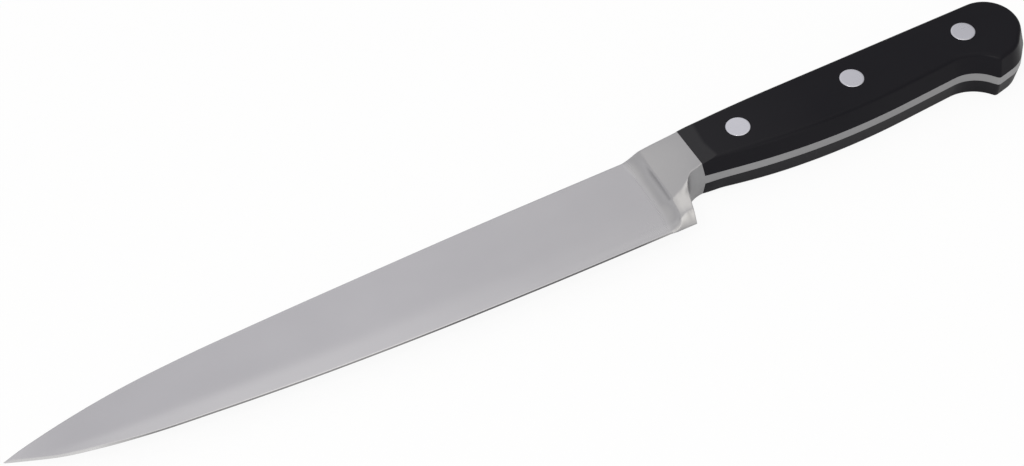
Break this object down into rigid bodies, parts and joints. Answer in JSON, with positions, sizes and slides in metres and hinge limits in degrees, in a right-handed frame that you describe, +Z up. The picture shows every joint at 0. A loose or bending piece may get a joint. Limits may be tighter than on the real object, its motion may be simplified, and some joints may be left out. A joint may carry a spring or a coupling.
{
  "type": "carving knife",
  "caption": "Forged carving knife with a long blade tapering to a point, a bolster that runs down into a thick heel, and black riveted handle scales that end in a hooked butt.",
  "frame": {"origin": "under the middle of the whole knife, on the surface that its right side lies on", "axes": "+X from the tip to the butt, +Y from the cutting edge to the spine, +Z up through the thickness, from the right scale to the left one"},
  "size_m": [0.3348, 0.0316, 0.0162],
  "materials": {
    "blade_steel": "satin ground stainless steel",
    "scale_plastic": "finely textured black moulded plastic",
    "rivet_metal": "flush ground, satin"
  },
  "bodies": {
    "root": {"blade": "blade_steel", "left_scale": "scale_plastic", "right_scale": "scale_plastic", "front_rivet_post": "rivet_metal", "front_rivet_sleeve": "rivet_metal", "middle_rivet_post": "rivet_metal", "middle_rivet_sleeve": "rivet_metal", "rear_rivet_post": "rivet_metal", "rear_rivet_sleeve": "rivet_metal"}
  },
  "joints": []
}
